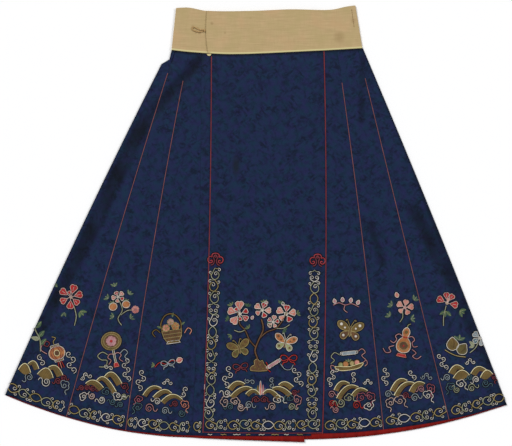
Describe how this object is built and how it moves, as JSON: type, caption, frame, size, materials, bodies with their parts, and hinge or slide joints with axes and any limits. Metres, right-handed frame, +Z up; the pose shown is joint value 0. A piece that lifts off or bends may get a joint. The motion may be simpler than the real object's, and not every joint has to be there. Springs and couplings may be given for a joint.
{
  "type": "wrap skirt",
  "caption": "Long gored wrap skirt of embroidered navy silk damask with a broad natural cotton waistband, laid flat with its front up.",
  "frame": {"origin": "middle of the underside, at the level that the skirt rests on", "axes": "+X across the skirt to the viewer's right, +Y from hem to waist, +Z up out of the front"},
  "size_m": [1.1044, 0.961, 0.0081],
  "materials": {
    "silk_damask": "navy silk damask, soft sheen",
    "silk_lining": "dark red silk lining",
    "silk_binding": "red silk piping and binding",
    "natural_cotton": "undyed plain-weave cotton, matt",
    "twisted_cord": "twisted cotton cord, matt",
    "embroidery_silk": "couched and satin-stitched silk threads in several colours"
  },
  "bodies": {
    "root": {"gore_left_side": "silk_damask", "gore_left_2": "silk_damask", "gore_left_1": "silk_damask", "front_panel_under": "silk_damask", "gore_left_4": "silk_damask", "gore_left_5": "silk_damask", "back_panel_over": "silk_damask", "gore_right_side": "silk_damask", "gore_right_2": "silk_damask", "gore_right_1": "silk_damask", "front_panel": "silk_damask", "gore_right_4": "silk_damask", "gore_right_5": "silk_damask", "back_panel": "silk_damask", "lining_left": "silk_lining", "lining_right": "silk_lining", "binding_front_edge": "silk_binding", "binding_front_hem": "silk_binding", "piping_front_seam": "silk_binding", "piping_left_outer": "silk_binding", "piping_left_inner": "silk_binding", "piping_right_inner": "silk_binding", "piping_right_outer": "silk_binding", "waistband": "natural_cotton", "band_corner": "natural_cotton", "band_knot": "twisted_cord", "loop_cord": "twisted_cord"}
  },
  "joints": []
}
